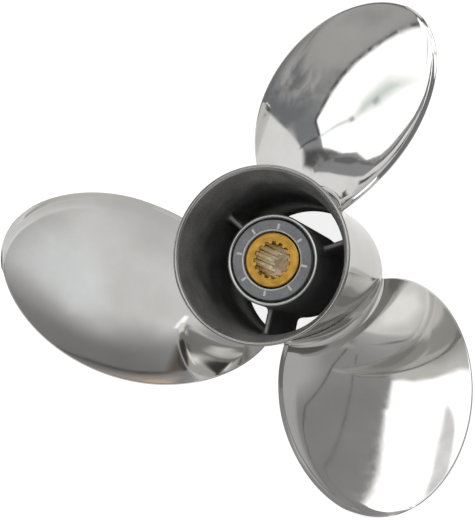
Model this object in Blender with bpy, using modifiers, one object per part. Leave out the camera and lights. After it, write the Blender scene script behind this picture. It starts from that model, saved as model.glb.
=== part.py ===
"""Three-bladed stainless steel propeller with its exhaust led out through the hub, in metres.

+Z is the shaft line and points aft, to the rim that the exhaust leaves by. The origin is on the
shaft line, in the plane of the barrel's forward end, on which the propeller stands when it is off
the boat. The casting's barrel, ribs, hub sleeve and blades are nodes of their own, 0.3 mm apart.
"""

import math

import bmesh
import bpy

# Driving dimensions of the barrel and its flared aft ring
GAP = 0.0003
BARREL_LENGTH = 0.128
RING_LENGTH = 0.024
BARREL_FRONT_R = 0.0470
BARREL_BACK_R = 0.0490
BORE_FRONT_R = 0.0430
BORE_BACK_R = 0.0455
RIM_R = 0.0540
RIM_WALL = 0.0027
RIM_LIP = 0.0010
BARREL_CHAMFER = 0.0010

# Driving dimensions of the hub inside the barrel
SLEEVE_BACK_R = 0.0282
SLEEVE_FRONT_R = 0.0276
SLEEVE_WALL = 0.0026
SLEEVE_FRONT_Z = 0.0150
SLEEVE_BACK_Z = 0.1007
BUSHING_FRONT_Z = 0.0230
BUSHING_BACK_Z = 0.1018
GROOVE_WIDTH = 0.0010
GROOVE_DEPTH = 0.0060
INSERT_R = 0.0170
INSERT_FRONT_Z = 0.0180
INSERT_BACK_Z = 0.1012
SPLINES = 15
SPLINE_ROOT_R = 0.0110
SPLINE_TIP_R = 0.0094
SPLINE_LENGTH = 0.0430
PILOT_R = 0.0118
RIB_FRONT_Z = 0.0155
RIB_BACK_Z = 0.0807
RIB_THICKNESS = 0.0034

# Blade table: radius at the root line and at the tip, then values at even steps from root to tip.
# The face values say how far the aft face lies off a true helix; they fade out at every edge.
BLADES = 3
FIRST_BLADE_DEG = 90.0
BLADE_ROOT_R = 0.0513
BLADE_TIP_R = 0.1715
BLADE_SKEW_DEG = (0.0, -8.5, -17.0)
BLADE_MIDDLE_Z = (0.0500, 0.0732, 0.0917, 0.1088)
BLADE_PITCH = (0.383, 0.358, 0.411)
BLADE_HALF_WIDTH = (0.0362, 0.0625, 0.0763, 0.0835)
BLADE_ROOT_THICKNESS = 0.0115
BLADE_EDGE_THICKNESS = 0.0020
FACE_AT_TRAILING = (-0.0019, -0.0001, 0.0)
FACE_AT_MIDDLE = (-0.0004, -0.0007, -0.0037)
FACE_AT_LEADING = (-0.0064, -0.0048, -0.0075)
CUP_WIDTH = 0.0100
CUP_LIFT = 0.0022
ROOT_FILLET = 0.0080
FILLET_AT_EDGES = 0.25

TURN_STEPS = 72
CHORD_STEPS = 14


def clear_scene():
    for old in list(bpy.data.objects):
        bpy.data.objects.remove(old, do_unlink=True)


def new_collection(name):
    collection = bpy.data.collections.new(name)
    bpy.context.scene.collection.children.link(collection)
    return collection


def new_material(name, colour, roughness, metallic):
    material = bpy.data.materials.new(name)
    material.use_nodes = True
    shader = material.node_tree.nodes["Principled BSDF"]
    shader.inputs["Base Color"].default_value = (*colour, 1.0)
    shader.inputs["Roughness"].default_value = roughness
    shader.inputs["Metallic"].default_value = metallic
    return material


def new_object(name, mesh, collection, material=None):
    made = bpy.data.objects.new(name, mesh)
    collection.objects.link(made)
    if material:
        mesh.materials.append(material)
    mesh.shade_smooth()
    mesh.set_sharp_from_angle(angle=math.radians(35))
    return made


def as_cutter(cutter):
    cutter.hide_render = True
    cutter.display_type = "WIRE"
    return cutter


def cut(target, cutter):
    boolean = target.modifiers.new("cut by " + cutter.name, "BOOLEAN")
    boolean.operation = "DIFFERENCE"
    boolean.object = cutter


def turned(name, profile, collection, material=None, closed=True):
    """Turns (radius, z) points about Z. They run down the outer side, from top to bottom."""
    mesh = bpy.data.meshes.new(name)
    last = len(profile) - 1
    edges = [(i, i + 1) for i in range(last)]
    if closed:
        edges.append((last, 0))
    mesh.from_pydata([(radius, 0.0, z) for radius, z in profile], edges, [])
    made = new_object(name, mesh, collection, material)
    screw = made.modifiers.new("turn", "SCREW")
    screw.axis = "Z"
    screw.angle = math.tau
    screw.steps = TURN_STEPS
    screw.render_steps = TURN_STEPS
    screw.use_merge_vertices = True
    screw.merge_threshold = 0.0001
    screw.use_smooth_shade = True
    return made


def mix(first, last, share):
    return first + (last - first) * share


def through(values, share):
    """The polynomial through values that lie at even steps from share 0 to share 1."""
    steps = len(values) - 1
    total = 0.0
    for i, value in enumerate(values):
        weight = 1.0
        for j in range(steps + 1):
            if j != i:
                weight *= (share * steps - j) / (i - j)
        total += value * weight
    return total


# Barrel and ring

def barrel_outer_r(z):
    """Outer radius at height z: a slow taper, then the aft ring's flare."""
    ring_start = BARREL_LENGTH - RING_LENGTH
    if z <= ring_start:
        return mix(BARREL_FRONT_R, BARREL_BACK_R, z / ring_start)
    rise = min(1.0, (z - ring_start) / (RING_LENGTH - RIM_LIP))
    return mix(BARREL_BACK_R, RIM_R, rise**1.5)


def barrel_inner_r(z):
    ring_start = BARREL_LENGTH - RING_LENGTH
    if z <= ring_start:
        return mix(BORE_FRONT_R, BORE_BACK_R, z / ring_start)
    return mix(BORE_BACK_R, RIM_R - RIM_WALL, ((z - ring_start) / RING_LENGTH) ** 1.2)


def make_barrel(collection, material):
    top = BARREL_LENGTH - RING_LENGTH - GAP
    profile = [
        (barrel_outer_r(top), top),
        (barrel_outer_r(BARREL_CHAMFER), BARREL_CHAMFER),
        (BARREL_FRONT_R - BARREL_CHAMFER, 0.0),
        (BORE_FRONT_R, 0.0),
        (barrel_inner_r(top), top),
    ]
    return turned("exhaust_barrel", profile, collection, material)


def make_ring(collection, material):
    """The flared ring at the aft end, whose lip is rounded over."""
    top = BARREL_LENGTH - RIM_LIP
    bottom = BARREL_LENGTH - RING_LENGTH
    heights = [mix(top, bottom, share) for share in (0.0, 0.25, 0.5, 0.75, 1.0)]
    outer = [(barrel_outer_r(z), z) for z in heights]
    inner = [(barrel_inner_r(z), z) for z in reversed(heights)]
    lip = [(RIM_R - RIM_WALL * 0.7, BARREL_LENGTH), (RIM_R - RIM_WALL * 0.3, BARREL_LENGTH)]
    return turned("diffuser_ring", outer + inner + lip, collection, material)


# Hub

def sleeve_outer_r(z):
    return mix(SLEEVE_FRONT_R, SLEEVE_BACK_R, (z - SLEEVE_FRONT_Z) / (SLEEVE_BACK_Z - SLEEVE_FRONT_Z))


def make_sleeve(collection, material):
    rounding = 0.0008
    bore = SLEEVE_BACK_R - SLEEVE_WALL
    profile = [
        (SLEEVE_BACK_R - rounding, SLEEVE_BACK_Z),
        (SLEEVE_BACK_R, SLEEVE_BACK_Z - rounding),
        (SLEEVE_FRONT_R, SLEEVE_FRONT_Z),
        (bore, SLEEVE_FRONT_Z),
        (bore, SLEEVE_BACK_Z - rounding),
        (bore + rounding, SLEEVE_BACK_Z),
    ]
    return turned("hub_sleeve", profile, collection, material)


def make_bushing(collection, material):
    """The rubber, tight in the sleeve. Its aft face stands free of the sleeve and the insert."""
    outer = SLEEVE_BACK_R - SLEEVE_WALL - GAP
    inner = INSERT_R + GAP
    bevel = 0.0006
    shoulder = BUSHING_BACK_Z - GROOVE_DEPTH
    profile = [
        (outer - GROOVE_WIDTH - bevel, BUSHING_BACK_Z),
        (outer - GROOVE_WIDTH, BUSHING_BACK_Z - bevel),
        (outer - GROOVE_WIDTH, shoulder),
        (outer, shoulder - GROOVE_WIDTH),
        (outer, BUSHING_FRONT_Z),
        (inner, BUSHING_FRONT_Z),
        (inner, BUSHING_BACK_Z - 2 * bevel),
        (inner + 2 * bevel, BUSHING_BACK_Z),
    ]
    return turned("rubber_bushing", profile, collection, material)


def spline_cutter(collection):
    """A toothed bar that cuts the splined stretch of the bore, from the aft face in."""
    tooth = math.tau / SPLINES
    outline = []
    for i in range(SPLINES):
        for share, radius in ((-0.28, SPLINE_ROOT_R), (0.28, SPLINE_ROOT_R),
                              (0.38, SPLINE_TIP_R), (0.62, SPLINE_TIP_R)):
            angle = (i + share) * tooth
            outline.append((radius * math.cos(angle), radius * math.sin(angle)))
    overrun = 0.002
    bottom = INSERT_BACK_Z - SPLINE_LENGTH - overrun
    bm = bmesh.new()
    base = bm.faces.new([bm.verts.new((x, y, bottom)) for x, y in outline])
    raised = bmesh.ops.extrude_face_region(bm, geom=[base])
    lifted = [item for item in raised["geom"] if isinstance(item, bmesh.types.BMVert)]
    bmesh.ops.translate(bm, verts=lifted, vec=(0.0, 0.0, SPLINE_LENGTH + 2 * overrun))
    bmesh.ops.recalc_face_normals(bm, faces=bm.faces)
    mesh = bpy.data.meshes.new("spline_bar")
    bm.to_mesh(mesh)
    bm.free()
    return as_cutter(new_object("spline_bar", mesh, collection))


def make_insert(collection, cutters, material):
    """The brass: splined aft, with a smooth and wider pilot bore forward of the splines."""
    bevel = 0.0008
    blank_bore = SPLINE_TIP_R - 0.002
    spline_end = INSERT_BACK_Z - SPLINE_LENGTH
    step = PILOT_R - blank_bore
    profile = [
        (INSERT_R - bevel, INSERT_BACK_Z),
        (INSERT_R, INSERT_BACK_Z - bevel),
        (INSERT_R, INSERT_FRONT_Z),
        (PILOT_R, INSERT_FRONT_Z),
        (PILOT_R, spline_end - step),
        (blank_bore, spline_end),
        (blank_bore, INSERT_BACK_Z),
    ]
    insert = turned("spline_insert", profile, collection, material)
    cut(insert, spline_cutter(cutters))
    return insert


def barrel_wall_cutter(collection):
    """All that lies outside the exhaust way, one gap inside the barrel's bore, for the ribs' outer ends."""
    reach = 0.03
    low = -0.01
    high = BARREL_LENGTH - RING_LENGTH
    profile = [
        (BORE_BACK_R + reach, high),
        (BORE_BACK_R + reach, low),
        (barrel_inner_r(low) - GAP, low),
        (barrel_inner_r(high) - GAP, high),
    ]
    return as_cutter(turned("barrel_wall_around", profile, collection))


def sleeve_cutter(collection):
    """The sleeve, one gap larger and filled in, for the ribs' inner ends."""
    low = -0.01
    high = BARREL_LENGTH
    profile = [(0.0, high), (sleeve_outer_r(high) + GAP, high), (sleeve_outer_r(low) + GAP, low), (0.0, low)]
    return as_cutter(turned("sleeve_core", profile, collection, closed=False))


def make_rib(index, collection, cutters, material):
    """One of the three webs that carry the sleeve in the barrel, midway between two blades."""
    inner = SLEEVE_FRONT_R - 0.002
    outer = BORE_BACK_R + 0.002
    name = f"rib_{index + 1}"
    bm = bmesh.new()
    bmesh.ops.create_cube(bm, size=1.0)
    for vert in bm.verts:
        vert.co.x = mix(inner, outer, vert.co.x + 0.5)
        vert.co.y *= RIB_THICKNESS
        vert.co.z = mix(RIB_FRONT_Z, RIB_BACK_Z, vert.co.z + 0.5)
    mesh = bpy.data.meshes.new(name)
    bm.to_mesh(mesh)
    bm.free()
    rib = new_object(name, mesh, collection, material)
    turn = FIRST_BLADE_DEG + (index - 0.5) * 360.0 / BLADES
    rib.rotation_euler.z = math.radians(turn)
    for cutter in cutters:
        cut(rib, cutter)
    return rib


# Blades

def blade_share(radius):
    return (radius - BLADE_ROOT_R) / (BLADE_TIP_R - BLADE_ROOT_R)


def fillet_at(radius):
    """How far the root fillet stands out from the middle of the blade's face at this radius."""
    rise = max(0.0, min(1.0, (radius - BARREL_BACK_R) / ROOT_FILLET))
    return ROOT_FILLET * (1.0 - math.sqrt(1.0 - (1.0 - rise) ** 2))


def blade_point(radius, along, side):
    """A point of the blade before it is turned to its place.

    along runs from -1 at the trailing edge to 1 at the leading edge. side is 1 on the aft
    face, -1 on the forward face and 0 between them, at an edge.
    """
    share = blade_share(radius)
    fillet = fillet_at(radius)
    half = through(BLADE_HALF_WIDTH, share) * math.sqrt(1.0 - share**2) + FILLET_AT_EDGES * fillet
    pitch = through(BLADE_PITCH, share)
    lead = pitch / (math.tau * radius)
    slant = math.hypot(1.0, lead)
    body = (BLADE_ROOT_THICKNESS - BLADE_EDGE_THICKNESS) * max(0.0, 1.0 - share) ** 1.15
    fullness = 1.0 - along * along
    fillet *= mix(FILLET_AT_EDGES, 1.0, fullness)
    across = [through(row, share) for row in (FACE_AT_TRAILING, FACE_AT_MIDDLE, FACE_AT_LEADING)]
    hollow = through(across, (1.0 + along) / 2.0) * fullness * (1.0 - share**2)
    from_edge = half * (1.0 + along)
    cup = CUP_LIFT * max(0.0, 1.0 - from_edge / CUP_WIDTH) ** 2 * min(1.0, max(0.0, share) * 4.0)
    aft = hollow + cup + fillet
    forward = hollow + cup - fillet - BLADE_EDGE_THICKNESS - body * fullness
    offset = (aft, (aft + forward) / 2.0, forward)[1 - side]
    angle = math.radians(through(BLADE_SKEW_DEG, share)) + (along * half + offset * lead / slant) / radius
    height = through(BLADE_MIDDLE_Z, share) - along * half * lead + offset / slant
    return (radius * math.cos(angle), radius * math.sin(angle), height)


def blade_section(radius):
    """Points round one section: up the aft face, over the leading edge and back along the forward face."""
    bevel = BLADE_EDGE_THICKNESS * 0.4
    share = min(blade_share(radius), 0.9995)
    half = through(BLADE_HALF_WIDTH, share) * math.sqrt(1.0 - share**2)
    limit = 1.0 - min(0.4, bevel / half)
    face = [limit * math.sin(math.pi * (i / CHORD_STEPS - 0.5)) for i in range(CHORD_STEPS + 1)]
    aft = [blade_point(radius, along, 1) for along in face]
    forward = [blade_point(radius, along, -1) for along in reversed(face)]
    return aft + [blade_point(radius, 1.0, 0)] + forward + [blade_point(radius, -1.0, 0)]


def blade_radii():
    """Close steps through the root fillet, even ones over the blade, and close ones again at the tip."""
    buried = BARREL_FRONT_R - 0.003
    fillet = [BARREL_BACK_R + ROOT_FILLET * rise for rise in (0.0, 0.08, 0.25, 0.55, 1.0)]
    start = blade_share(fillet[-1])
    steps = 14
    rest = []
    for i in range(1, steps + 1):
        share = start + (1.0 - start) * math.sin(0.5 * math.pi * i / steps)
        rest.append(mix(BLADE_ROOT_R, BLADE_TIP_R, min(share, 0.9995)))
    return [buried] + fillet + rest


def make_blade(index, collection, cutter, material):
    """A loft through the sections, closed by a strip across its two faces at either end."""
    name = f"blade_{index + 1}"
    bm = bmesh.new()
    rings = [[bm.verts.new(point) for point in blade_section(radius)] for radius in blade_radii()]
    count = len(rings[0])
    for low, high in zip(rings, rings[1:]):
        for i in range(count):
            j = (i + 1) % count
            bm.faces.new((low[i], low[j], high[j], high[i]))
    for ring in (rings[0], rings[-1]):
        for i in range(CHORD_STEPS):
            across = 2 * CHORD_STEPS + 2 - i
            bm.faces.new((ring[i], ring[i + 1], ring[across - 1], ring[across]))
        bm.faces.new((ring[CHORD_STEPS], ring[CHORD_STEPS + 1], ring[CHORD_STEPS + 2]))
        bm.faces.new((ring[0], ring[count - 2], ring[count - 1]))
    bmesh.ops.recalc_face_normals(bm, faces=bm.faces)
    mesh = bpy.data.meshes.new(name)
    bm.to_mesh(mesh)
    bm.free()
    blade = new_object(name, mesh, collection, material)
    blade.rotation_euler.z = math.radians(FIRST_BLADE_DEG + index * 360.0 / BLADES)
    cut(blade, cutter)
    return blade


def barrel_core_cutter(collection):
    """The barrel's and the ring's outer form, one gap larger and filled in, for the blades' roots."""
    heights = [BARREL_LENGTH * i / 20 for i in range(20, -1, -1)]
    over = 0.02
    skin = [(barrel_outer_r(z) + GAP, z) for z in heights]
    profile = [(0.0, BARREL_LENGTH + over), (RIM_R + GAP, BARREL_LENGTH + over)]
    profile += skin
    profile += [(BARREL_FRONT_R + GAP, -over), (0.0, -over)]
    return as_cutter(turned("barrel_core", profile, collection, closed=False))


def main():
    clear_scene()
    parts = new_collection("ship_propeller")
    cutters = new_collection("cutters")
    polished = new_material("polished stainless steel", (0.72, 0.72, 0.71), 0.12, 1.0)
    cast = new_material("satin cast stainless steel", (0.36, 0.36, 0.35), 0.50, 1.0)
    rubber = new_material("grey bonded rubber", (0.13, 0.135, 0.14), 0.60, 0.0)
    brass = new_material("machined brass", (0.76, 0.56, 0.22), 0.28, 1.0)

    make_barrel(parts, polished)
    make_ring(parts, cast)
    make_sleeve(parts, cast)
    make_bushing(parts, rubber)
    make_insert(parts, cutters, brass)
    rib_cutters = (barrel_wall_cutter(cutters), sleeve_cutter(cutters))
    root_cutter = barrel_core_cutter(cutters)
    for index in range(BLADES):
        make_rib(index, parts, rib_cutters, cast)
        make_blade(index, parts, root_cutter, polished)


main()
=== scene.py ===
# Three-bladed stainless boat propeller seen from its exhaust end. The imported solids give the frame,
# and each solid that shows is stood for by a finer piece made here.
import math

import bpy
import numpy as np
from mathutils import Matrix, Vector


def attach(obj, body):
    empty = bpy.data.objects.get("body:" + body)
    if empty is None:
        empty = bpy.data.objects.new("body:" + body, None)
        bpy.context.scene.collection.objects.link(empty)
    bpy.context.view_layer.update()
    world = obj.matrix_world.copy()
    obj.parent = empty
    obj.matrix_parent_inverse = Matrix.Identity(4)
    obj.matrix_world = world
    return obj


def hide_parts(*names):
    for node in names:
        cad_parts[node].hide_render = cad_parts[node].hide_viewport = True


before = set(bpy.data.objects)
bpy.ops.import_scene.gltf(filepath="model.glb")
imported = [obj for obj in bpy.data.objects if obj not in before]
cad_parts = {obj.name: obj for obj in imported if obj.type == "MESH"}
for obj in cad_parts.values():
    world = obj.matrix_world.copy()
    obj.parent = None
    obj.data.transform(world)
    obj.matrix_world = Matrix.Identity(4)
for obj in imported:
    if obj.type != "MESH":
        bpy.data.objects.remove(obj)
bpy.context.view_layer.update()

mm = 0.001
photoWidth, photoHeight = 475, 520


def linear(hexText):
    # sRGB hex to the linear colour that shaders take
    parts = [int(hexText[i:i + 2], 16) / 255 for i in (1, 3, 5)]
    return tuple(c / 12.92 if c <= 0.04045 else ((c + 0.055) / 1.055) ** 2.4 for c in parts) + (1.0,)


def addNode(tree, kind, settings=None, wires=None, stops=()):
    # settings are the node's own; wires maps an input to a value or to (node, output); stops are the two
    # ends of a colour ramp, as position and colour
    node = tree.nodes.new(kind)
    for key, value in (settings or {}).items():
        setattr(node, key, value)
    for key, value in (wires or {}).items():
        if isinstance(value, tuple) and isinstance(value[0], bpy.types.Node):
            tree.links.new(value[0].outputs[value[1]], node.inputs[key])
        else:
            node.inputs[key].default_value = value
    for i, (position, colour) in enumerate(stops):
        node.color_ramp.elements[i].position = position
        node.color_ramp.elements[i].color = linear(colour)
    return node


def mix(first, last, share):
    return first + (last - first) * share


def buildPiece(name, points, faces, materials, nodes, sharpDeg, materialOf=None):
    # points in mm; the piece rides on the one body and stands for the CAD nodes
    mesh = bpy.data.meshes.new(name)
    mesh.from_pydata([tuple(p) for p in np.asarray(points) * mm], [], faces)
    mesh.validate()
    for material in materials:
        mesh.materials.append(material)
    if materialOf is not None:
        mesh.polygons.foreach_set("material_index", materialOf)
    mesh.shade_smooth()
    mesh.set_sharp_from_angle(angle=math.radians(sharpDeg))
    piece = bpy.data.objects.new(name, mesh)
    bpy.context.scene.collection.objects.link(piece)
    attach(piece, "root")
    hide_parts(*nodes)


def turnedGrid(profile, steps, radiusAt=None):
    # closed profile of (radius, z) turned about Z; radiusAt(row, angle) may reshape a row
    points, faces = [], []
    rows = len(profile)
    for step in range(steps):
        angle = math.tau * step / steps
        for row, (radius, z) in enumerate(profile):
            r = (radiusAt and radiusAt(row, angle)) or radius
            points.append((r * math.cos(angle), r * math.sin(angle), z))
    for step in range(steps):
        after = (step + 1) % steps
        for row in range(rows):
            below = (row + 1) % rows
            faces.append((step * rows + row, step * rows + below, after * rows + below, after * rows + row))
    return points, faces


print("materials")
# how wide each pattern's lumps or rings are, in mm
grain = {
    "haze": 34.0, "smudge": 9.0, "polishWave": 22.0, "polishPeel": 3.0,
    "brushing": 0.7, "castBlotch": 14.0, "castSpeckle": 1.1, "turning": 0.7,
    "rubberSpeckle": 0.8, "rubberBloom": 7.0, "brassStain": 5.0,
}
# how deep the patterns are drawn, in mm
depth = {
    "polishWave": 0.018, "polishPeel": 0.002, "brushing": 0.02, "castSpeckle": 0.09, "turning": 0.03,
    "rubberSpeckle": 0.05,
}


def startMaterial(name, metallic, roughness, colour):
    material = bpy.data.materials.new(name)
    material.use_nodes = True
    tree = material.node_tree
    shader = tree.nodes["Principled BSDF"]
    shader.inputs["Metallic"].default_value = metallic
    shader.inputs["Roughness"].default_value = roughness
    shader.inputs["Base Color"].default_value = linear(colour)
    return material, tree, shader


def noiseOver(tree, size, detail=3.0, roughness=0.5, distortion=0.0):
    # noise whose lumps are about this many mm wide
    place = addNode(tree, "ShaderNodeTexCoord")
    return addNode(tree, "ShaderNodeTexNoise", {}, {
        "Vector": (place, "Object"), "Scale": 1.0 / (size * mm), "Detail": detail, "Roughness": roughness,
        "Distortion": distortion})


def ringNoise(tree, size, alongTurn, detail=2.0):
    # noise stretched round the shaft line, as a lathe or a brush leaves it; alongTurn is how often it
    # changes on the way round
    place = addNode(tree, "ShaderNodeTexCoord")
    parts = addNode(tree, "ShaderNodeSeparateXYZ", {}, {"Vector": (place, "Object")})
    flat = addNode(tree, "ShaderNodeCombineXYZ", {}, {"X": (parts, "X"), "Y": (parts, "Y")})
    radius = addNode(tree, "ShaderNodeVectorMath", {"operation": "LENGTH"}, {0: (flat, "Vector")})
    around = addNode(tree, "ShaderNodeVectorMath", {"operation": "NORMALIZE"}, {0: (flat, "Vector")})
    turned = addNode(tree, "ShaderNodeVectorMath", {"operation": "SCALE"}, {
        0: (around, "Vector"), "Scale": alongTurn})
    height = addNode(tree, "ShaderNodeMath", {"operation": "DIVIDE"}, {0: (parts, "Z"), 1: size * mm})
    lift = addNode(tree, "ShaderNodeCombineXYZ", {}, {"Z": (height, "Value")})
    where = addNode(tree, "ShaderNodeVectorMath", {"operation": "ADD"}, {
        0: (turned, "Vector"), 1: (lift, "Vector")})
    outward = addNode(tree, "ShaderNodeMath", {"operation": "DIVIDE"}, {0: (radius, "Value"), 1: size * mm})
    noise = addNode(tree, "ShaderNodeTexNoise", {"noise_dimensions": "4D"}, {
        "Vector": (where, "Vector"), "W": (outward, "Value"), "Scale": 1.0, "Detail": detail})
    return noise, radius


def colourBy(tree, shader, pattern, low, high, lowAt=0.3, highAt=0.7):
    # the base colour runs from low to high as the pattern rises from lowAt to highAt
    ramp = addNode(tree, "ShaderNodeValToRGB", {}, {"Fac": pattern}, [(lowAt, low), (highAt, high)])
    tree.links.new(ramp.outputs["Color"], shader.inputs["Base Color"])


def glossBy(tree, shader, pattern, low, high, lowAt=0.3, highAt=0.7):
    # the roughness runs from low to high in the same way
    reach = addNode(tree, "ShaderNodeMapRange", {}, {
        "Value": pattern, "From Min": lowAt, "From Max": highAt, "To Min": low, "To Max": high})
    tree.links.new(reach.outputs["Result"], shader.inputs["Roughness"])


def roughen(tree, shader, bumps):
    # bumps are (pattern, depth in mm), laid one over the other
    normal = None
    for pattern, deep in bumps:
        wires = {"Height": pattern, "Distance": deep * mm, "Strength": 1.0}
        if normal:
            wires["Normal"] = (normal, "Normal")
        normal = addNode(tree, "ShaderNodeBump", {}, wires)
    tree.links.new(normal.outputs["Normal"], shader.inputs["Normal"])


def polishedSteel(name, low, high):
    # cast stainless, belt ground and mirror buffed by hand: sharp reflections that waver slightly over
    # a finger's breadth, with a faint peel, a thin haze in the tone and smudges in the gloss
    material, tree, shader = startMaterial(name, 1.0, 0.05, high)
    haze = noiseOver(tree, grain["haze"], 4.0)
    smudge = noiseOver(tree, grain["smudge"], 3.0, 0.62, 0.6)
    wave = noiseOver(tree, grain["polishWave"], 1.0)
    peel = noiseOver(tree, grain["polishPeel"], 2.0)
    colourBy(tree, shader, (haze, "Fac"), low, high)
    glossBy(tree, shader, (smudge, "Fac"), 0.035, 0.085, 0.35, 0.72)
    roughen(tree, shader, [((wave, "Fac"), depth["polishWave"]), ((peel, "Fac"), depth["polishPeel"])])
    return material


def brushedSteel():
    # satin stainless casting, bead blasted and then lathe brushed: a dull, dark sheen with faint rings,
    # which are 0.2 mm apart in the metal and drawn 0.7 mm wide so that they show
    material, tree, shader = startMaterial("satin stainless casting", 1.0, 0.45, "#8A8A89")
    rings, _ = ringNoise(tree, grain["brushing"], 3.0, 3.0)
    blotch = noiseOver(tree, grain["castBlotch"], 4.0)
    speckle = noiseOver(tree, grain["castSpeckle"], 2.0)
    worn = addNode(tree, "ShaderNodeMix", {"data_type": "FLOAT"}, {
        "Factor": 0.5, "A": (rings, "Fac"), "B": (blotch, "Fac")})
    blend = addNode(tree, "ShaderNodeMix", {"data_type": "FLOAT"}, {
        "Factor": 0.4, "A": (worn, "Result"), "B": (speckle, "Fac")})
    colourBy(tree, shader, (blend, "Result"), "#989898", "#C0C0C0", 0.36, 0.62)
    glossBy(tree, shader, (blotch, "Fac"), 0.52, 0.68)
    roughen(tree, shader, [((rings, "Fac"), depth["brushing"]), ((speckle, "Fac"), depth["castSpeckle"])])
    return material


def turnedSteel(name, low, high):
    # the edges that the lathe touched last, the ring's lip and the sleeve's end: brighter and finer than
    # the casting round them, with a soft metallic glint
    material, tree, shader = startMaterial(name, 1.0, 0.3, high)
    rings, _ = ringNoise(tree, grain["turning"], 2.0, 2.0)
    colourBy(tree, shader, (rings, "Fac"), low, high)
    glossBy(tree, shader, (rings, "Fac"), 0.22, 0.34)
    return material


def greyRubber():
    # vulcanised rubber moulded against a blasted steel face: matt slate grey with a fine speckle
    material, tree, shader = startMaterial("moulded slate rubber", 0.0, 0.5, "#6A6E72")
    speckle = noiseOver(tree, grain["rubberSpeckle"], 3.0, 0.7)
    bloom = noiseOver(tree, grain["rubberBloom"], 3.0)
    blend = addNode(tree, "ShaderNodeMix", {"data_type": "FLOAT"}, {
        "Factor": 0.35, "A": (speckle, "Fac"), "B": (bloom, "Fac")})
    colourBy(tree, shader, (blend, "Result"), "#7C7D7F", "#A2A3A5", 0.35, 0.65)
    roughen(tree, shader, [((speckle, "Fac"), depth["rubberSpeckle"])])
    return material


def paleHighlightRubber():
    # the same rubber on the raised bars and on the bevel round the brass, smoother and painted near white: a
    # painted highlight that stands for the light glinting off them
    material, tree, shader = startMaterial("rubber painted with a highlight", 0.0, 0.32, "#E6E6E6")
    speckle = noiseOver(tree, grain["rubberSpeckle"], 3.0, 0.7)
    colourBy(tree, shader, (speckle, "Fac"), "#DADBDC", "#F2F2F2")
    return material


def machinedBrass():
    # leaded brass: the face is turned, with fine rings and a warm orange gold, and the broached teeth
    # are fresh cut and paler; the rings are 0.1 mm apart in the metal and drawn wider so that they show
    material, tree, shader = startMaterial("machined brass", 1.0, 0.3, "#D9A85A")
    rings, radius = ringNoise(tree, grain["turning"], 1.5, 3.0)
    stain = noiseOver(tree, grain["brassStain"], 4.0)
    face = addNode(tree, "ShaderNodeValToRGB", {}, {"Fac": (rings, "Fac")}, [
        (0.3, "#96712E"), (0.7, "#B38D42")])
    cut = addNode(tree, "ShaderNodeValToRGB", {}, {"Fac": (stain, "Fac")}, [
        (0.3, "#E0CC92"), (0.7, "#F0E0B0")])
    # the cut colour holds inside the teeth's roots and below the face
    place = addNode(tree, "ShaderNodeTexCoord")
    parts = addNode(tree, "ShaderNodeSeparateXYZ", {}, {"Vector": (place, "Object")})
    inside = addNode(tree, "ShaderNodeMapRange", {}, {
        "Value": (radius, "Value"), "From Min": (insert["rootR"] + 0.2) * mm,
        "From Max": (insert["rootR"] + 0.7) * mm, "To Min": 1.0, "To Max": 0.0})
    below = addNode(tree, "ShaderNodeMapRange", {}, {
        "Value": (parts, "Z"), "From Min": (insert["faceZ"] - 1.0) * mm,
        "From Max": (insert["faceZ"] - 0.2) * mm, "To Min": 1.0, "To Max": 0.0})
    share = addNode(tree, "ShaderNodeMath", {"operation": "MULTIPLY"}, {
        0: (inside, "Result"), 1: (below, "Result")})
    colour = addNode(tree, "ShaderNodeMix", {"data_type": "RGBA"}, {
        "Factor": (share, "Value"), 6: (face, "Color"), 7: (cut, "Color")})  # 6 and 7 are its colour inputs
    tree.links.new(colour.outputs[2], shader.inputs["Base Color"])
    glossBy(tree, shader, (stain, "Fac"), 0.22, 0.38)
    roughen(tree, shader, [((rings, "Fac"), depth["turning"])])
    return material


# the third is the rubber with the painted highlight, for the bars and the bevel round the brass
satin, rubber, paintedHighlight = brushedSteel(), greyRubber(), paleHighlightRubber()
lipSteel = turnedSteel("turned stainless lip", "#94948F", "#B2B2B0")
sleeveSteel = turnedSteel("faced stainless sleeve end", "#ACACAA", "#D2D2D0")
mirror = polishedSteel("mirror buffed stainless steel", "#D7D6D3", "#E4E3E1")
barrelMirror = polishedSteel("belt polished stainless steel", "#B3B2B0", "#BFBEBC")

print("barrel and flared ring")
barrel = {
    "length": 128.0, "ringLength": 24.0,
    "frontR": 47.0, "backR": 49.0, "boreFrontR": 43.0, "boreBackR": 45.5,
    "rimR": 54.0, "rimWall": 2.7, "lip": 1.0, "chamfer": 1.0,
    "outerCurve": 1.5, "innerCurve": 1.2,  # how late the flare turns outward
    "plainRows": (30.0, 60.0, 90.0), "flareRows": 22, "lipRows": 13, "steps": 288, "sharpDeg": 30,
}
ringStart = barrel["length"] - barrel["ringLength"]


def barrelOuterR(z):
    taper = mix(barrel["frontR"], barrel["backR"], z / ringStart)
    rise = np.clip((z - ringStart) / (barrel["ringLength"] - barrel["lip"]), 0.0, 1.0)
    flare = mix(barrel["backR"], barrel["rimR"], rise ** barrel["outerCurve"])
    return np.where(z <= ringStart, taper, flare)


def barrelInnerR(z):
    taper = mix(barrel["boreFrontR"], barrel["boreBackR"], z / ringStart)
    rise = np.clip((z - ringStart) / barrel["ringLength"], 0.0, 1.0)
    flare = mix(barrel["boreBackR"], barrel["rimR"] - barrel["rimWall"], rise ** barrel["innerCurve"])
    return np.where(z <= ringStart, taper, flare)


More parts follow.
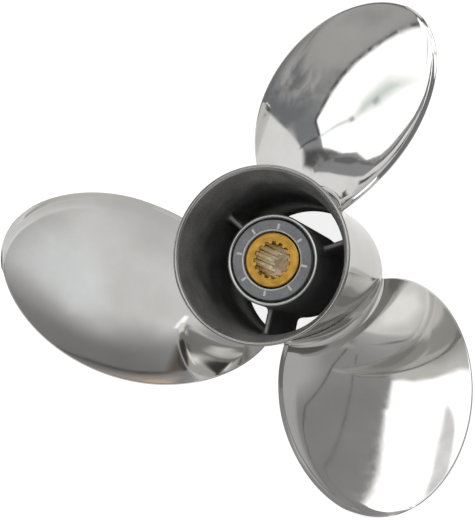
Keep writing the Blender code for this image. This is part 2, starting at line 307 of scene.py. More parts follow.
def makeBarrel():
    top = barrel["length"] - barrel["lip"]
    chamfer = barrel["chamfer"]
    half = barrel["rimWall"] / 2
    middleR = barrel["rimR"] - half
    heights = [chamfer, *barrel["plainRows"], *np.linspace(ringStart, top, barrel["flareRows"])]
    outer = [(float(barrelOuterR(z)), z) for z in heights]
    lip = [(middleR + half * math.cos(turn), top + barrel["lip"] * math.sin(turn))
           for turn in np.linspace(0.0, math.pi, barrel["lipRows"])[1:-1]]
    inner = [(float(barrelInnerR(z)), z) for z in heights[::-1]]
    ends = [(barrel["boreFrontR"] + chamfer * 0.5, 0.0), (barrel["frontR"] - chamfer, 0.0)]
    profile = (outer + lip + inner + ends)[::-1]
    points, faces = turnedGrid(profile, barrel["steps"])
    # polished outside, turned on the lip and satin inside
    rows = len(profile)
    polishedFrom = rows - len(outer)
    lipFrom = polishedFrom - len(lip) - 1
    rowMaterial = [0 if row >= polishedFrom else (2 if row >= lipFrom else 1) for row in range(rows)]
    buildPiece("exhaust_barrel_and_ring", points, faces, [barrelMirror, satin, lipSteel],
               ["exhaust_barrel", "diffuser_ring"], barrel["sharpDeg"], rowMaterial * barrel["steps"])


makeBarrel()

print("hub sleeve and ribs")
sleeve = {
    "backR": 28.2, "frontR": 27.6, "boreR": 25.6, "frontZ": 15.0, "backZ": 100.7,
    "crown": 1.1, "chamfer": 0.5, "crownRows": 15, "steps": 192, "sharpDeg": 35,
}
rib = {
    "thickness": 3.4, "frontZ": 15.5, "backZ": 80.7, "flare": 3.0, "sunk": 0.5,
    "stations": 25, "edgePoints": 14, "sharpDeg": 45,
}


def makeSleeve():
    rise = sleeve["crown"]
    chamfer = sleeve["chamfer"]
    middle = (sleeve["backR"] + sleeve["boreR"]) / 2
    half = (sleeve["backR"] - sleeve["boreR"]) / 2
    crown = [(middle + half * math.cos(turn), sleeve["backZ"] - rise + rise * math.sin(turn))
             for turn in np.linspace(0.0, math.pi, sleeve["crownRows"])]
    front = sleeve["frontZ"]
    profile = [(sleeve["frontR"], front + chamfer), *crown, (sleeve["boreR"], front + chamfer),
               (sleeve["boreR"] + chamfer, front), (sleeve["frontR"] - chamfer, front)]
    points, faces = turnedGrid(profile[::-1], sleeve["steps"])
    rowMaterial = [1 if 2 < row < 2 + len(crown) else 0 for row in range(len(profile))]  # the crown is turned
    buildPiece("hub_sleeve_ring", points, faces, [satin, sleeveSteel], ["hub_sleeve"],
               sleeve["sharpDeg"], rowMaterial * sleeve["steps"])


def makeRib(index):
    # a web whose ends flare into the sleeve and the barrel as the casting's fillets do
    turn = math.radians(blade["firstDeg"] + (index - 0.5) * 360.0 / blade["count"])
    inner = sleeve["frontR"] - rib["sunk"]
    outerAft = float(barrelInnerR(np.float64(rib["backZ"]))) + rib["sunk"]
    outerFront = float(barrelInnerR(np.float64(rib["frontZ"]))) + rib["sunk"]
    flare = rib["flare"]
    points, faces = [], []
    stations = rib["stations"]
    edgePoints = rib["edgePoints"]
    count = 2 * edgePoints
    for i in range(stations):
        share = 0.5 - 0.5 * math.cos(math.pi * i / (stations - 1))
        reach = (outerAft - inner) * share
        near = max(0.0, min(reach, outerAft - inner - reach) - rib["sunk"])
        widened = flare * (1 - math.sqrt(1 - (1 - min(1.0, near / flare)) ** 2))
        half = rib["thickness"] / 2 + widened
        for j in range(count):
            # a stadium across the web: round aft edge, round forward edge
            top = j < edgePoints
            angle = math.pi * (j % edgePoints) / (edgePoints - 1)
            middleZ = rib["backZ"] - half + widened if top else rib["frontZ"] + half - widened
            across = half * math.cos(angle) * (1 if top else -1)
            z = middleZ + (half if top else -half) * math.sin(angle)
            outer = mix(outerFront, outerAft, (z - rib["frontZ"]) / (rib["backZ"] - rib["frontZ"]))
            radius = mix(inner, outer, share)
            # the two ends follow the round of the sleeve and the bore
            atEnd = i in (0, stations - 1)
            x = math.sqrt(radius * radius - across * across) if atEnd else radius
            points.append((x * math.cos(turn) - across * math.sin(turn),
                           x * math.sin(turn) + across * math.cos(turn), z))
    for i in range(stations - 1):
        for j in range(count):
            k = (j + 1) % count
            faces.append((i * count + j, i * count + k, (i + 1) * count + k, (i + 1) * count + j))
    faces.append(tuple(range(count))[::-1])
    faces.append(tuple((stations - 1) * count + j for j in range(count)))
    buildPiece(f"rib_web_{index + 1}", points, faces, [satin], [f"rib_{index + 1}"],
               rib["sharpDeg"])


print("rubber bushing")
bushing = {
    "faceZ": 101.8, "outerR": 24.5, "innerR": 17.6, "bodyR": 25.3, "bodyInnerR": 17.3, "frontZ": 23.0,
    "shoulderZ": 95.0, "shoulder": 1.0, "bevel": 0.6, "innerBevel": 0.9, "ease": 0.18, "support": 0.3,
    "steps": 160, "sharpDeg": 30,
    "bars": 8, "barFirstDeg": 45.7, "barFrom": 18.8, "barTo": 22.4, "barWidth": 1.5, "barHeight": 0.45,
    "barBevel": 0.3, "barSunk": 0.3,
}


def makeBushing():
    # support is the narrow row beside a bevel that keeps the flat face's shading flat
    b = bushing
    outer, inner, face = b["outerR"], b["innerR"], b["faceZ"]
    profile = [
        (b["bodyR"], b["frontZ"]), (b["bodyR"], b["shoulderZ"] - b["shoulder"]), (outer, b["shoulderZ"]),
        (outer, face - b["bevel"]), (outer - b["ease"], face - b["ease"]), (outer - b["bevel"], face),
        (outer - b["bevel"] - b["support"], face), (inner + b["innerBevel"] + b["support"], face),
        (inner + b["innerBevel"], face), (inner + b["support"], face - b["support"]),
        (inner, face - b["innerBevel"]), (b["bodyInnerR"], b["shoulderZ"]), (b["bodyInnerR"], b["frontZ"]),
    ]
    points, faces = turnedGrid(profile[::-1], b["steps"])
    # the bevel round the brass takes the same pale rubber as the bars: a painted highlight
    materialOf = [1 if row in (2, 3) else 0 for row in range(len(profile))] * b["steps"]
    half = b["barWidth"] / 2
    levels = [(0.0, face - b["barSunk"]), (0.0, face + b["barHeight"] / 2),
              (b["barBevel"], face + b["barHeight"])]
    for bar in range(b["bars"]):
        angle = math.radians(b["barFirstDeg"] + bar * 360.0 / b["bars"])
        start = len(points)
        for inset, z in levels:
            low, high, side = b["barFrom"] + inset, b["barTo"] - inset, half - inset
            for x, y in ((low, -side), (high, -side), (high, side), (low, side)):
                points.append((x * math.cos(angle) - y * math.sin(angle),
                               x * math.sin(angle) + y * math.cos(angle), z))
        for level in (start, start + 4):
            for j in range(4):
                k = (j + 1) % 4
                faces.append((level + j, level + k, level + 4 + k, level + 4 + j))
        faces.append(tuple(start + 8 + j for j in range(4)))
        faces.append(tuple(start + 3 - j for j in range(4)))
        # the bars take the pale rubber, a painted highlight
        materialOf += [1] * 10
    buildPiece("bushing_rubber", points, faces, [rubber, paintedHighlight], ["rubber_bushing"], b["sharpDeg"],
               materialOf)


print("brass insert")
insert = {
    "outerR": 16.7, "faceZ": 101.2, "frontZ": 18.0,
    "bevel": 0.6, "ease": 0.18, "support": 0.3, "chamfer": 0.5,
    "splines": 15, "rootR": 11.0, "tipR": 9.4,
    "flankFrom": 0.30, "flankWidth": 0.24,  # shares of half a pitch
    "splineLength": 43.0, "middleRow": 20.0, "runOut": 2.4, "pilotR": 11.8, "faceRow": 0.9,
    "samples": 24, "sharpDeg": 32,
}


def toothRadius(angle):
    # one tooth and one gap for each step of the pattern, with short sloping flanks
    share = (angle * insert["splines"] / math.tau) % 1.0
    near = abs(share - 0.5) * 2
    rise = min(1.0, max(0.0, (near - insert["flankFrom"]) / insert["flankWidth"]))
    rise = rise * rise * (3 - 2 * rise)
    return mix(insert["tipR"], insert["rootR"], rise)


def makeInsert():
    n = insert
    outer, face, front, chamfer = n["outerR"], n["faceZ"], n["frontZ"], n["chamfer"]
    end = face - n["splineLength"]
    # None stands for the toothed radius
    profile = [
        (outer, front + chamfer), (outer, face - n["bevel"]), (outer - n["ease"], face - n["ease"]),
        (outer - n["bevel"], face), (outer - n["bevel"] - n["support"], face),
        (n["rootR"] + n["faceRow"], face), (None, face), (None, face - chamfer),
        (None, end + n["middleRow"]), (None, end),
        (n["pilotR"], end - n["runOut"]), (n["pilotR"], front + chamfer), (n["pilotR"] + chamfer, front),
        (outer - chamfer, front),
    ][::-1]
    toothed = {row: (chamfer if z == face else 0.0) for row, (r, z) in enumerate(profile) if r is None}

    def radiusAt(row, angle):
        return toothRadius(angle) + toothed[row] if row in toothed else None

    points, faces = turnedGrid(profile, n["splines"] * n["samples"], radiusAt)
    buildPiece("spline_insert_brass", points, faces, [machinedBrass()], ["spline_insert"],
               n["sharpDeg"])


print("blades")
blade = {
    # the tip is a hair short of the solid's, which keeps this rounder outline inside the CAD box
    "count": 3, "firstDeg": 90.0, "rootR": 51.3, "tipR": 171.2,
    "skewDeg": (0.0, -8.5, -17.0), "middleZ": (50.0, 73.2, 91.7, 108.8), "pitch": (383.0, 358.0, 411.0),
    "halfWidth": (36.2, 62.5, 76.3, 83.5),
    "rootThickness": 11.5, "edgeThickness": 2.0, "thinning": 1.15, "edgeRound": 1.6,
    "landWidth": 3.0, "landThickness": 0.8, "landReach": 12.0, "landCurve": 0.9,
    "landFrom": 0.3, "landBlend": 0.4,  # shares of the half chord, from the middle to the trailing edge
    "faceAtTrailing": (-1.9, -0.1, 0.0), "faceAtMiddle": (-0.4, -0.7, -3.7),
    "faceAtLeading": (-6.4, -4.8, -7.5),
    "cupWidth": 10.0, "cupLift": 2.2, "rootFade": 4.0, "tipFade": 8.0,
    "filletEdge": 2.4, "filletMiddle": 9.0, "filletCurve": 0.8, "sunk": 0.6,
    "across": 128, "filletRows": 14, "rows": 120, "sharpDeg": 60,
}


def through(values, share):
    # the polynomial through values that lie at even steps from share 0 to 1
    steps = len(values) - 1
    total = 0.0
    for i, value in enumerate(values):
        weight = 1.0
        for j in range(steps + 1):
            if j != i:
                weight = weight * (share * steps - j) / (i - j)
        total = total + value * weight
    return total


def bladeContour(radius, along, side):
    # chord and normal coordinates of a point; side is 1 on the aft face and -1 on the forward face
    b = blade
    span = b["tipR"] - b["rootR"]
    share = (radius - b["rootR"]) / span
    body = np.clip(1.0 - share ** 2, 0.0, None)
    width = through(b["halfWidth"], share)
    half = width * np.sqrt(body)
    lead = through(b["pitch"], share) / (math.tau * radius)
    slant = np.hypot(1.0, lead)
    # distance from the outline, for the rounded edge
    slope = np.sqrt(along ** 2 * body / (width * slant) ** 2 + (share / span) ** 2)
    fromOutline = body * (1 - along ** 2) / (2 * slope + 1e-9)
    # the trailing edge has a flat ground land on its aft side, up to near the tip; the rest is round
    atRoot = np.clip(share * b["rootFade"], 0.0, 1.0)
    atTip = np.clip((1 - share) * b["tipFade"], 0.0, 1.0)
    land = np.clip((-along - b["landFrom"]) / b["landBlend"], 0.0, 1.0) * atTip
    onAft = land * (side > 0)
    near = np.clip(fromOutline / mix(b["edgeRound"], b["landWidth"], onAft), 0.0, 1.0)
    rounding = mix(np.sqrt(1 - (1 - near) ** 2), near ** b["landCurve"], onAft)
    thinned = np.clip(1 - share, 0.0, None) ** b["thinning"] * (1 - along ** 2)
    thick = mix(b["edgeThickness"], b["rootThickness"], thinned)
    thick = thick + b["landThickness"] * land * np.clip(1 - fromOutline / b["landReach"], 0.0, 1.0) * atRoot
    # how far the aft face lies off a true helix, fading out at every edge
    across = [through(b[row], share) for row in ("faceAtTrailing", "faceAtMiddle", "faceAtLeading")]
    hollow = through(across, (1 + along) / 2) * (1 - along ** 2) * body
    fromTrail = half * (1 + along)
    cup = b["cupLift"] * np.clip(1 - fromTrail / b["cupWidth"], 0.0, None) ** 2 * atRoot
    offset = hollow + cup - thick / 2 + side * rounding * thick / 2
    return along * half * slant, offset, lead, slant, share


def bladePlace(radius, chord, offset, lead, slant, share):
    angle = np.radians(through(blade["skewDeg"], share)) + (chord + offset * lead) / (slant * radius)
    z = through(blade["middleZ"], share) + (offset - chord * lead) / slant
    return np.stack([radius * np.cos(angle), radius * np.sin(angle), z], axis=-1)


def bladeRow(height, standOff, along, side):
    # one closed row at this height over the barrel, standing off the blade along the section's normal
    radius = barrel["backR"] + height
    step = 1e-4
    atEdge = np.abs(along) > 1 - 1e-9
    for _ in range(4):
        chord, offset, lead, slant, share = bladeContour(radius, along, side)
        ahead = bladeContour(radius, np.clip(along + step, -1, 1), side)
        behind = bladeContour(radius, np.clip(along - step, -1, 1), side)
        alongChord, alongOffset = ahead[0] - behind[0], ahead[1] - behind[1]
        length = np.hypot(alongChord, alongOffset) + 1e-12
        normalChord = np.where(atEdge, np.sign(along), -alongOffset / length * side)
        normalOffset = np.where(atEdge, 0.0, alongChord / length * side)
        place = bladePlace(radius, chord + normalChord * standOff, offset + normalOffset * standOff,
                           lead, slant, share)
        radius = barrelOuterR(place[:, 2]) + height
    return place


def makeBlade(index):
    # each row runs up the aft face and back down the forward one
    b = blade
    face = np.sin(np.linspace(-math.pi / 2, math.pi / 2, b["across"] + 1))
    along = np.concatenate([face, face[::-1][1:-1]])
    side = np.concatenate([np.ones(b["across"] + 1), -np.ones(b["across"] - 1)])
    fillet = mix(b["filletEdge"], b["filletMiddle"], (1 - along ** 2) ** b["filletCurve"])
    rows = [bladeRow(np.full_like(along, -b["sunk"]), fillet, along, side)]
    for phi in np.linspace(0.0, math.pi / 2, b["filletRows"]):
        rows.append(bladeRow(fillet * (1 - math.cos(phi)), fillet * (1 - math.sin(phi)), along, side))
    # from the top of the fillet to the tip, close together at the tip
    startR = np.hypot(rows[-1][:, 0], rows[-1][:, 1])
    for i in range(1, b["rows"]):
        radius = mix(startR, b["tipR"], math.sin(math.pi / 2 * i / b["rows"]))
        rows.append(bladePlace(radius, *bladeContour(radius, along, side)))
    tipRadius = np.array([b["tipR"]])
    tip = bladePlace(tipRadius, *bladeContour(tipRadius, np.zeros(1), np.zeros(1)))
    turn = math.radians(b["firstDeg"] + index * 360.0 / b["count"])
    spin = np.array([[math.cos(turn), -math.sin(turn), 0], [math.sin(turn), math.cos(turn), 0], [0, 0, 1]])
    points = np.concatenate(rows + [tip]) @ spin.T
    faces = []
    count = len(along)
    for low in range(0, (len(rows) - 1) * count, count):
        high = low + count
        for i in range(count):
            j = (i + 1) % count
            faces.append((high + i, high + j, low + j, low + i))
    last = (len(rows) - 1) * count
    for i in range(count):
        faces.append((last + count, last + (i + 1) % count, last + i))
    # the cap inside the barrel's wall, a strip from one face to the other
    for i in range(b["across"]):
        ring = (i, (count - i) % count, (count - i - 1) % count, i + 1)
        faces.append(tuple(dict.fromkeys(ring))[::-1])
    buildPiece(f"blade_skin_{index + 1}", points, faces, [mirror], [f"blade_{index + 1}"],
               b["sharpDeg"])


makeSleeve()
makeBushing()
makeInsert()
for number in range(blade["count"]):
    makeRib(number)
    makeBlade(number)

print("floor, light and camera")
studio = {
    "room": 0.6, "backdrop": 0.93,  # radiance of the plain room, and of what the camera sees behind the floor
    "wobble": 0.008, "wobbleScale": 6.0,  # how far and how finely the room's straight edges waver
    "streakScale": 9.0, "streakFrom": 0.38, "streakTo": 0.6,
    "floorSize": 9000.0, "floorDrop": 0.4, "floorGlow": 0.86,
    "ringFromR": 20.0, "ringToR": 45.8, "ringDrop": 0.2, "ringSteps": 48,
}
view = {
    "focalPx": 2017.5, "sensor": 36.0,  # focal length in the photograph's pixels, sensor width in mm
    "place": (330.58, -67.57, 1267.08), "clipStart": 0.05, "clipEnd": 50.0,
    "right": (0.93807, 0.21552, -0.27124), "up": (-0.19196, 0.97511, 0.11093),
    "back": (0.28839, -0.05200, 0.95610),
}
# soft round patches of light or shade: azimuth, elevation, inner and outer radius in degrees, radiance,
# strength
spots = [
    (190, 5, 20, 46, 0.88, 1.0),  # pale wall that the top blade sees
    (0, 90, 38, 47, 0.26, 1.0),  # dim upper room
    (-54, 20, 26, 38, 0.74, 1.0),  # broad soft box that the left blade sees
    (-88, 12, 10, 30, 0.60, 0.8),  # its dimmer end
    (-8, 50, 5, 31, 0.21, 0.95),  # dark corners behind the hub
    (-5, 22, 5, 26, 0.30, 0.9),
    (75, 15, 10, 45, 0.30, 1.0),  # grey wall that the right blade sees
    (55, 8, 5, 24, 0.50, 0.9),  # its lighter foot
    (80, 34, 5, 22, 0.27, 0.8),  # its darker top
    (165, 78, 8, 17, 1.70, 1.0),  # soft box over the hub
    (58, 64, 8, 22, 1.80, 1.0),  # the one that lights the near side of the exhaust way
]
# flat cards of light or shade: radiance, tint, soft edge in degrees, corners as azimuth and elevation, and
# True where the card is streaked
cards = [
    # the dim lower room on the right blade's side, with its lighter parts
    (0.30, "#FFFEFA", 8.0, [(-60, -12), (0, -14), (50, -14), (92, -12), (92, -58), (0, -60), (-60, -58)]),
    (0.20, "#FFFEFA", 6.0, [(-20, -1), (0, 5), (20, 8), (40, 9), (42, -6), (38, -22), (0, -25),
                            (-20, -15)]),
    (0.84, "#FFFEFA", 5.0, [(95, -14), (95, -55), (30, -55), (34, -36), (55, -24), (80, -12)]),
    (0.42, "#FFFEFA", 3.0, [(91, 0), (90, -17), (66, -31), (46, -22), (57, -10), (74, -2)]),
    (0.30, "#FFFEFA", 3.0, [(93, -3), (93, -13), (82, -17), (70, -18), (72, -11), (82, -4)]),
    (0.68, "#FFFEFA", 5.0, [(8, -17), (26, -17), (50, -23), (62, -28), (62, -34), (30, -40), (8, -38)]),
    (0.46, "#FFFEFA", 2.0, [(84, -24), (28, -44), (12, -43), (12, -35.5), (72, -26.5)]),
    # white table
    (0.90, "#FFFEFA", 1.6, [(33, -56), (80, -54), (130, -54), (200, -56), (213, -60)]),
    # over the left blade
    (0.86, "#FAFDFF", 6.0, [(-55, 50.5), (-64, 51.4), (-73, 48.6), (-73, 44), (-62, 41), (-52, 44)]),
    # behind its tip
    (0.60, "#FFFEFA", 5.0, [(-79, 57), (-93, 57), (-95, 38), (-86, 36), (-80, 44)]),
    # under the left blade
    (0.28, "#FFFEFA", 5.0, [(-125, -17), (-85, -14), (-60, -5), (-20, 1), (0, 2), (0, -30), (-60, -34),
                            (-125, -34)]),
    (1.20, "#FFFEFA", 2.0, [(-47, 2), (-60, 2), (-70, -7), (-66, -10), (-51, -12), (-46.5, -6)]),
    (0.80, "#FFFEFA", 2.5, [(-12, -3), (-30, -9), (-50, -19), (-54, -21.5), (-50, -23), (-34, -16),
                            (-14, -8.5)]),
    (1.20, "#FFFEFA", 1.5, [(-58, -21.5), (-62, -22.3), (-86, -28.4), (-100, -29), (-100, -33),
                            (-80, -33), (-60, -27)]),
    (0.06, "#FFFEFA", 2.0, [(-62, -20.3), (-70, -25), (-86, -27.8), (-98, -26.5), (-110, -22.5),
                            (-126, -14), (-122, -9), (-100, -9), (-82, -12), (-66, -18)]),
    # what the right blade sees: a light table's edge, a white panel, and grey under it
    (1.05, "#FFFEFA", 4.0, [(95, -15), (125, -15), (125, -35), (92, -35)]),
    (0.74, "#FFFEFA", 3.0, [(97, -14), (103, -5.6), (107.5, 0.5), (112, 6), (116, 10), (150, 14),
                            (155, -25), (97, -25)]),
    (0.99, "#FFFEFA", 9.0, [(108, -9), (118, -16), (130, -14), (138, 0), (130, 5), (118, 2)]),
    (0.19, "#FFFEFA", 1.2, [(92, -3.6), (100, -0.2), (106, 4.4), (112, 8.6), (120, 10), (112, 9.8),
                            (99, 1), (92, -2.4)]),
    (1.60, "#FFFFFF", 1.2, [(85.2, 44), (86.2, 40), (87.6, 35), (90.6, 28.8), (138, 29), (138, 44)]),
    (1.60, "#FFFFFF", 1.2, [(90.4, 29.6), (93.6, 25), (96.2, 20.6), (118, 27), (140, 31), (126, 36),
                            (94, 36)]),
    (0.78, "#FFFFFF", 1.6, [(106.5, 34.6), (108, 34.2), (110.8, 36.5), (109.5, 38.4), (101, 39.8),
                            (100, 38.6)]),
    (0.62, "#FFFEFA", 1.6, [(96.5, 19.8), (101, 24.3), (107, 27.2), (117, 29.8), (140, 31.5), (140, 12),
                            (100, 10)]),
    (0.36, "#FFFEFA", 6.0, [(104, 18), (114, 25), (130, 27.5), (145, 27), (145, 10), (105, 8)]),
    # what the top blade sees: a wide grey flag with darker and lighter parts
    (0.31, "#FBFCFF", 1.2, [(220.5, 23), (210, 8.6), (202.5, -2.5), (199, -16.7), (195, -19.4),
                            (190.5, -19.4), (178.5, -13.6), (171, -10), (167, -6), (165, 5), (165, 48),
                            (228, 48)]),
    (0.22, "#FBFCFF", 1.2, [(213, 21), (220, 22.4), (224, 20), (245, 17), (256, 30), (240, 52), (208, 50)]),
    (0.21, "#F6FAFF", 9.0, [(203, 30), (226, 33), (226, 20), (214, 8), (202, 5), (195, 13), (198, 22)]),
    (0.25, "#F2F8FF", 5.0, [(192, 8), (207, 8), (204, -3), (194, -2)]),
    (0.44, "#FFFEFC", 6.0, [(184, 24), (192, 20), (203, 27), (203, 33), (186, 33)]),
    (0.44, "#FFFEFC", 8.0, [(182, 24), (192, 14), (204, 16), (218, 28), (205, 36), (184, 34)], True),
    (0.22, "#FBFCFF", 1.8, [(182.5, 26.4), (186.5, 27.4), (192, 29.2), (197, 31.7), (204, 34),
                            (206, 42), (178, 42), (178, 25.6)]),
    (0.20, "#FBFCFF", 2.0, [(167.5, 6), (169.5, 9), (182, 36), (182, 62), (140, 62), (136, 36), (140, 6)]),
    (0.88, "#FFFFFF", 1.2, [(220.6, 22.3), (210, 8.6), (222, -14), (250, -6), (246, 16.8)]),
    (0.88, "#FFFFFF", 1.2, [(210, 8.6), (230, 5), (230, -22), (197.6, -24), (199, -16.7), (202.5, -2.5)]),
    (0.10, "#FBFCFF", 4.0, [(182, -4), (190, -5.5), (200, -6), (199, -15), (194, -17), (186, -12)]),
    (0.30, "#FBFCFF", 5.0, [(176, -3), (190, -8), (197, -16), (190, -18), (178, -12), (170, -6)], True),
    (0.06, "#FBFCFF", 0.8, [(193.5, -0.5), (202, -4.2), (202.4, -5), (193.2, -1.6)]),
    (0.08, "#ECF4FF", 0.5, [(180.6, 26.4), (188, 20.3), (190.8, 15.2), (195, 8.5), (195.2, 5.1),
                            (193, -0.4), (180, 10)]),
    (0.88, "#FFFFFF", 1.2, [(191, -19.6), (166, -7.4), (160, -25), (191, -30)]),
    (1.60, "#FFFFFF", 0.6, [(169.4, 4.8), (169.5, 9), (170.5, 14), (172.3, 18), (174.2, 21.5),
                            (177, 26.6), (181, 25.2), (187.2, 19.5), (189.9, 14.6), (193.9, 8.3),
                            (194.2, 5.5), (192.2, 0.6), (171.6, 0.4)]),
    (1.60, "#FFFFFF", 0.6, [(176, 1.6), (192.6, 1.6), (190, -5), (184.8, -4.2), (181.3, -3.3),
                            (178.2, -1)]),
    (0.86, "#EAF6F2", 3.0, [(182.6, 9), (178.6, 15), (176.4, 20.6), (178.8, 19.8), (181.8, 14)]),
    (0.96, "#F2FAF7", 0.7, [(192, -0.9), (182.6, 8.7), (183.3, 9.4), (192.4, 0)]),
    (0.40, "#F2FAF7", 0.7, [(183.9, 8.6), (182.9, 8), (182.1, 9.2), (183, 9.9)]),
    (0.50, "#F2FAF7", 0.7, [(179.9, 15), (179, 14.6), (178.4, 16), (179.4, 16.3)]),
    # the thin lines that its rolled edge and its root show
    (0.42, "#FFFEFC", 1.2, [(166.2, 3), (168.9, 3.6), (168.6, 8), (168, 12), (166.4, 7)]),
    (0.16, "#FBFCFF", 0.8, [(183, -9), (176.3, -5.8), (174, -2.8), (175.2, -0.6), (178, -2.8),
                            (184, -5.8)]),
    (0.16, "#FBFCFF", 0.8, [(175, -2.9), (171, -1.8), (166.2, 1.5), (166.8, 3.3), (171.4, 0),
                            (175.4, -0.9)]),
    (0.20, "#FBFCFF", 0.8, [(168, 1), (164.6, -3.2), (164.2, -1), (166.4, 3.4), (168.2, 3)]),
    (0.10, "#FBFCFF", 1.2, [(168, -11.2), (163.2, -15), (158.4, -22.8), (157.4, -20.4), (162, -12.2),
                            (166.5, -9.2)]),
    (0.12, "#FBFCFF", 1.6, [(168, -18), (162.6, -23), (164.6, -25.8), (168.4, -20.8)]),
    (0.10, "#FBFCFF", 2.0, [(161, -27.6), (154, -27.6), (154, -36), (161, -36)]),
    (0.11, "#FBFCFF", 3.0, [(152, -13), (144, -13), (140, -22), (151, -28)]),
    # what the left blade sees along its lower edge: dark lines, then warm brown, and a glint
    (0.10, "#FFFAF0", 2.4, [(-21, 59.8), (-6, 51.6), (-7.2, 50), (-21, 57.6)]),
    (0.10, "#FFF4E6", 2.4, [(-6.2, 51.6), (-0.8, 45.5), (-2.4, 44.6), (-8, 50.4)]),
    (0.13, "#FFF0DC", 4.0, [(-1, 45.8), (3, 38), (-20, 31), (-19.5, 33.4), (-8.5, 41.4)]),
    (0.07, "#FFF8F0", 1.4, [(-20, 29), (-9, 33), (3, 37), (3, 40.4), (-7, 38.8), (-18, 32.6)]),
    (0.40, "#FFF3E6", 4.0, [(-17, 62), (-4, 53), (1.5, 46), (8, 43), (20, 50), (5, 66)]),
    (0.62, "#FFEAD2", 3.0, [(-17, 63), (-3, 55), (6, 47.5), (12, 46), (20, 52), (5, 68)], True),
    (1.40, "#FFFFFF", 1.2, [(-31, 27), (-29, 24), (-34.6, 17.6), (-36, 19)]),
]
# thin dark joints between the cards: radiance, width in degrees, points as azimuth and elevation
joints = [
    (0.17, 0.9, [(92, -4.8), (79.7, 9.7), (75, 18.6), (68.3, 26.8), (69, 33)]),
    (0.20, 0.6, [(90.8, 4.5), (86.2, 15.9), (81.7, 29.1), (77.8, 39)]),
    (0.22, 0.5, [(80.8, 10.8), (87, 15.2), (95.8, 18.4)]),
]


def toward(azimuth, elevation):
    a, e = math.radians(azimuth), math.radians(elevation)
    return Vector((math.cos(e) * math.cos(a), math.cos(e) * math.sin(a), math.sin(e)))


def layOver(tree, under, mask, radiance, tint="#FFFFFF"):
    # under may be a node's output or a plain colour; 6, 7 and 2 are the Mix node's colour sockets
    colour = tuple(radiance * c for c in linear(tint)[:3]) + (1.0,)
    return (addNode(tree, "ShaderNodeMix", {"data_type": "RGBA"}, {"Factor": mask, 6: under, 7: colour}), 2)


def spotMask(tree, ray, azimuth, elevation, inner, outer, strength):
    near = addNode(tree, "ShaderNodeVectorMath", {"operation": "DOT_PRODUCT"}, {
        0: ray, 1: toward(azimuth, elevation)[:]})
    return addNode(tree, "ShaderNodeMapRange", {"interpolation_type": "SMOOTHSTEP"}, {
        "Value": (near, "Value"), "From Min": math.cos(math.radians(outer)),
        "From Max": math.cos(math.radians(inner)), "To Min": 0.0, "To Max": strength})


def cardMask(tree, ray, soft, corners, streaks=None):
    # how far inside the nearest edge of the card the ray points; streaks thin the card out in wisps
    points = [toward(*corner) for corner in corners]
    centre = sum(points, Vector())
    inside = None
    for first, second in zip(points, points[1:] + points[:1]):
        edge = first.cross(second).normalized()
        if edge.dot(centre) < 0:
            edge.negate()
        reach = addNode(tree, "ShaderNodeVectorMath", {"operation": "DOT_PRODUCT"}, {0: ray, 1: edge[:]})
        if inside is None:
            inside = (reach, "Value")
        else:
            nearest = addNode(tree, "ShaderNodeMath", {"operation": "MINIMUM"}, {
                0: inside, 1: (reach, "Value")})
            inside = (nearest, "Value")
    half = math.sin(math.radians(soft)) / 2
    mask = addNode(tree, "ShaderNodeMapRange", {"interpolation_type": "SMOOTHSTEP"}, {
        "Value": inside, "From Min": -half, "From Max": half})
    if streaks is None:
        return (mask, "Result")
    thinned = addNode(tree, "ShaderNodeMath", {"operation": "MULTIPLY"}, {0: (mask, "Result"), 1: streaks})
    return (thinned, "Value")


def stripAlong(first, second, width):
    # the four corners of a strip from one direction to another
    away = (Vector(second) - Vector(first)).orthogonal().normalized() * width / 2
    corners = ((first, 1), (second, 1), (second, -1), (first, -1))
    return [tuple(Vector(end) + side * away) for end, side in corners]


def makeWorld():
    # a soft studio: an even pale room, with soft boxes and dark flags standing round the table
    s = studio
    world = bpy.data.worlds.new("soft studio")
    bpy.context.scene.world = world
    world.use_nodes = True
    tree = world.node_tree
    place = addNode(tree, "ShaderNodeTexCoord")
    noise = addNode(tree, "ShaderNodeTexNoise", {}, {
        "Vector": (place, "Generated"), "Scale": s["wobbleScale"], "Detail": 2.0})
    push = addNode(tree, "ShaderNodeVectorMath", {"operation": "SUBTRACT"}, {
        0: (noise, "Color"), 1: (0.5, 0.5, 0.5)})
    small = addNode(tree, "ShaderNodeVectorMath", {"operation": "SCALE"}, {
        0: (push, "Vector"), "Scale": s["wobble"]})
    bent = addNode(tree, "ShaderNodeVectorMath", {"operation": "ADD"}, {
        0: (place, "Generated"), 1: (small, "Vector")})
    unit = addNode(tree, "ShaderNodeVectorMath", {"operation": "NORMALIZE"}, {0: (bent, "Vector")})
    ray = (unit, "Vector")
    light = (s["room"],) * 3 + (1.0,)
    for azimuth, elevation, inner, outer, radiance, strength in spots:
        mask = spotMask(tree, ray, azimuth, elevation, inner, outer, strength)
        light = layOver(tree, light, (mask, "Result"), radiance)
    wisps = addNode(tree, "ShaderNodeTexNoise", {}, {
        "Vector": ray, "Scale": s["streakScale"], "Detail": 3.0, "Roughness": 0.6, "Distortion": 1.2})
    thinning = addNode(tree, "ShaderNodeMapRange", {"interpolation_type": "SMOOTHSTEP"}, {
        "Value": (wisps, "Fac"), "From Min": s["streakFrom"], "From Max": s["streakTo"]})
    strips = [(radiance, "#FFFEFA", 0.5, stripAlong(first, second, width))
              for radiance, width, line in joints for first, second in zip(line, line[1:])]
    for radiance, tint, soft, corners, *streaked in strips + cards:
        mask = cardMask(tree, ray, soft, corners, (thinning, "Result") if streaked else None)
        light = layOver(tree, light, mask, radiance, tint)
    seen = addNode(tree, "ShaderNodeLightPath")
    light = layOver(tree, light, (seen, "Is Camera Ray"), s["backdrop"])
    tree.links.new(light[0].outputs[light[1]], tree.nodes["Background"].inputs["Color"])


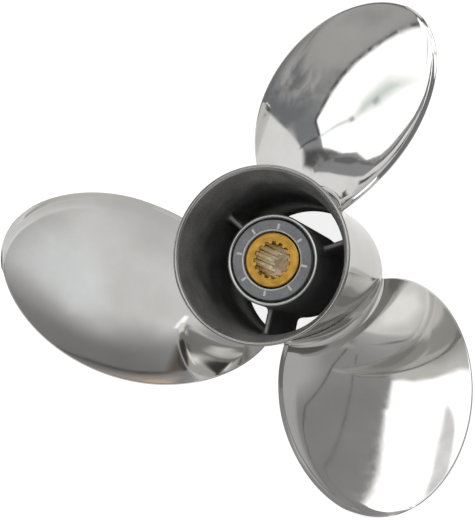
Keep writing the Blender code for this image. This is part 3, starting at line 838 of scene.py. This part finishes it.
def stagePlane(name, corners, faces, drop, material):
    # a flat piece of the studio, this many mm below the part's own lowest plane
    mesh = bpy.data.meshes.new(name)
    mesh.from_pydata([(x * mm, y * mm, 0) for x, y in corners], [], faces)
    mesh.materials.append(material)
    plane = bpy.data.objects.new(name, mesh)
    plane.location.z = -drop * mm
    bpy.context.scene.collection.objects.link(plane)
    return plane


def makeFloor():
    # the pale floor; the polished metal sees the studio's own pale table in its place, and a small dark
    # ring under the barrel keeps that light out of the exhaust way but not out of the bore
    s = studio
    half = s["floorSize"] / 2
    paper, _, shader = startMaterial("white paper floor", 0.0, 0.9, "#B4B4B4")
    shader.inputs["Emission Color"].default_value = (1, 1, 1, 1)
    shader.inputs["Emission Strength"].default_value = s["floorGlow"]
    floor = stagePlane("studio_floor", [(-half, -half), (half, -half), (half, half), (-half, half)],
                       [(0, 1, 2, 3)], s["floorDrop"], paper)
    floor.visible_glossy = False
    felt, _, _ = startMaterial("black felt", 0.0, 0.9, "#1A1A1A")
    steps = s["ringSteps"]
    turns = [math.tau * i / steps for i in range(steps)]
    corners = [(r * math.cos(turn), r * math.sin(turn))
               for r in (s["ringFromR"], s["ringToR"]) for turn in turns]
    faces = [(i, (i + 1) % steps, steps + (i + 1) % steps, steps + i) for i in range(steps)]
    ring = stagePlane("studio_ring", corners, faces, s["ringDrop"], felt)
    ring.visible_camera = False
    ring.visible_shadow = False


def makeCamera():
    camera = bpy.data.objects.new("camera", bpy.data.cameras.new("camera"))
    bpy.context.scene.collection.objects.link(camera)
    bpy.context.scene.camera = camera
    turned = Matrix((view["right"], view["up"], view["back"])).transposed().to_4x4()
    turned.translation = Vector(view["place"]) * mm
    camera.matrix_world = turned
    camera.data.sensor_width = view["sensor"]
    camera.data.lens = view["focalPx"] * view["sensor"] / max(photoWidth, photoHeight)
    camera.data.clip_start = view["clipStart"]
    camera.data.clip_end = view["clipEnd"]


makeFloor()
makeWorld()
makeCamera()
bpy.context.scene.view_settings.view_transform = "Standard"
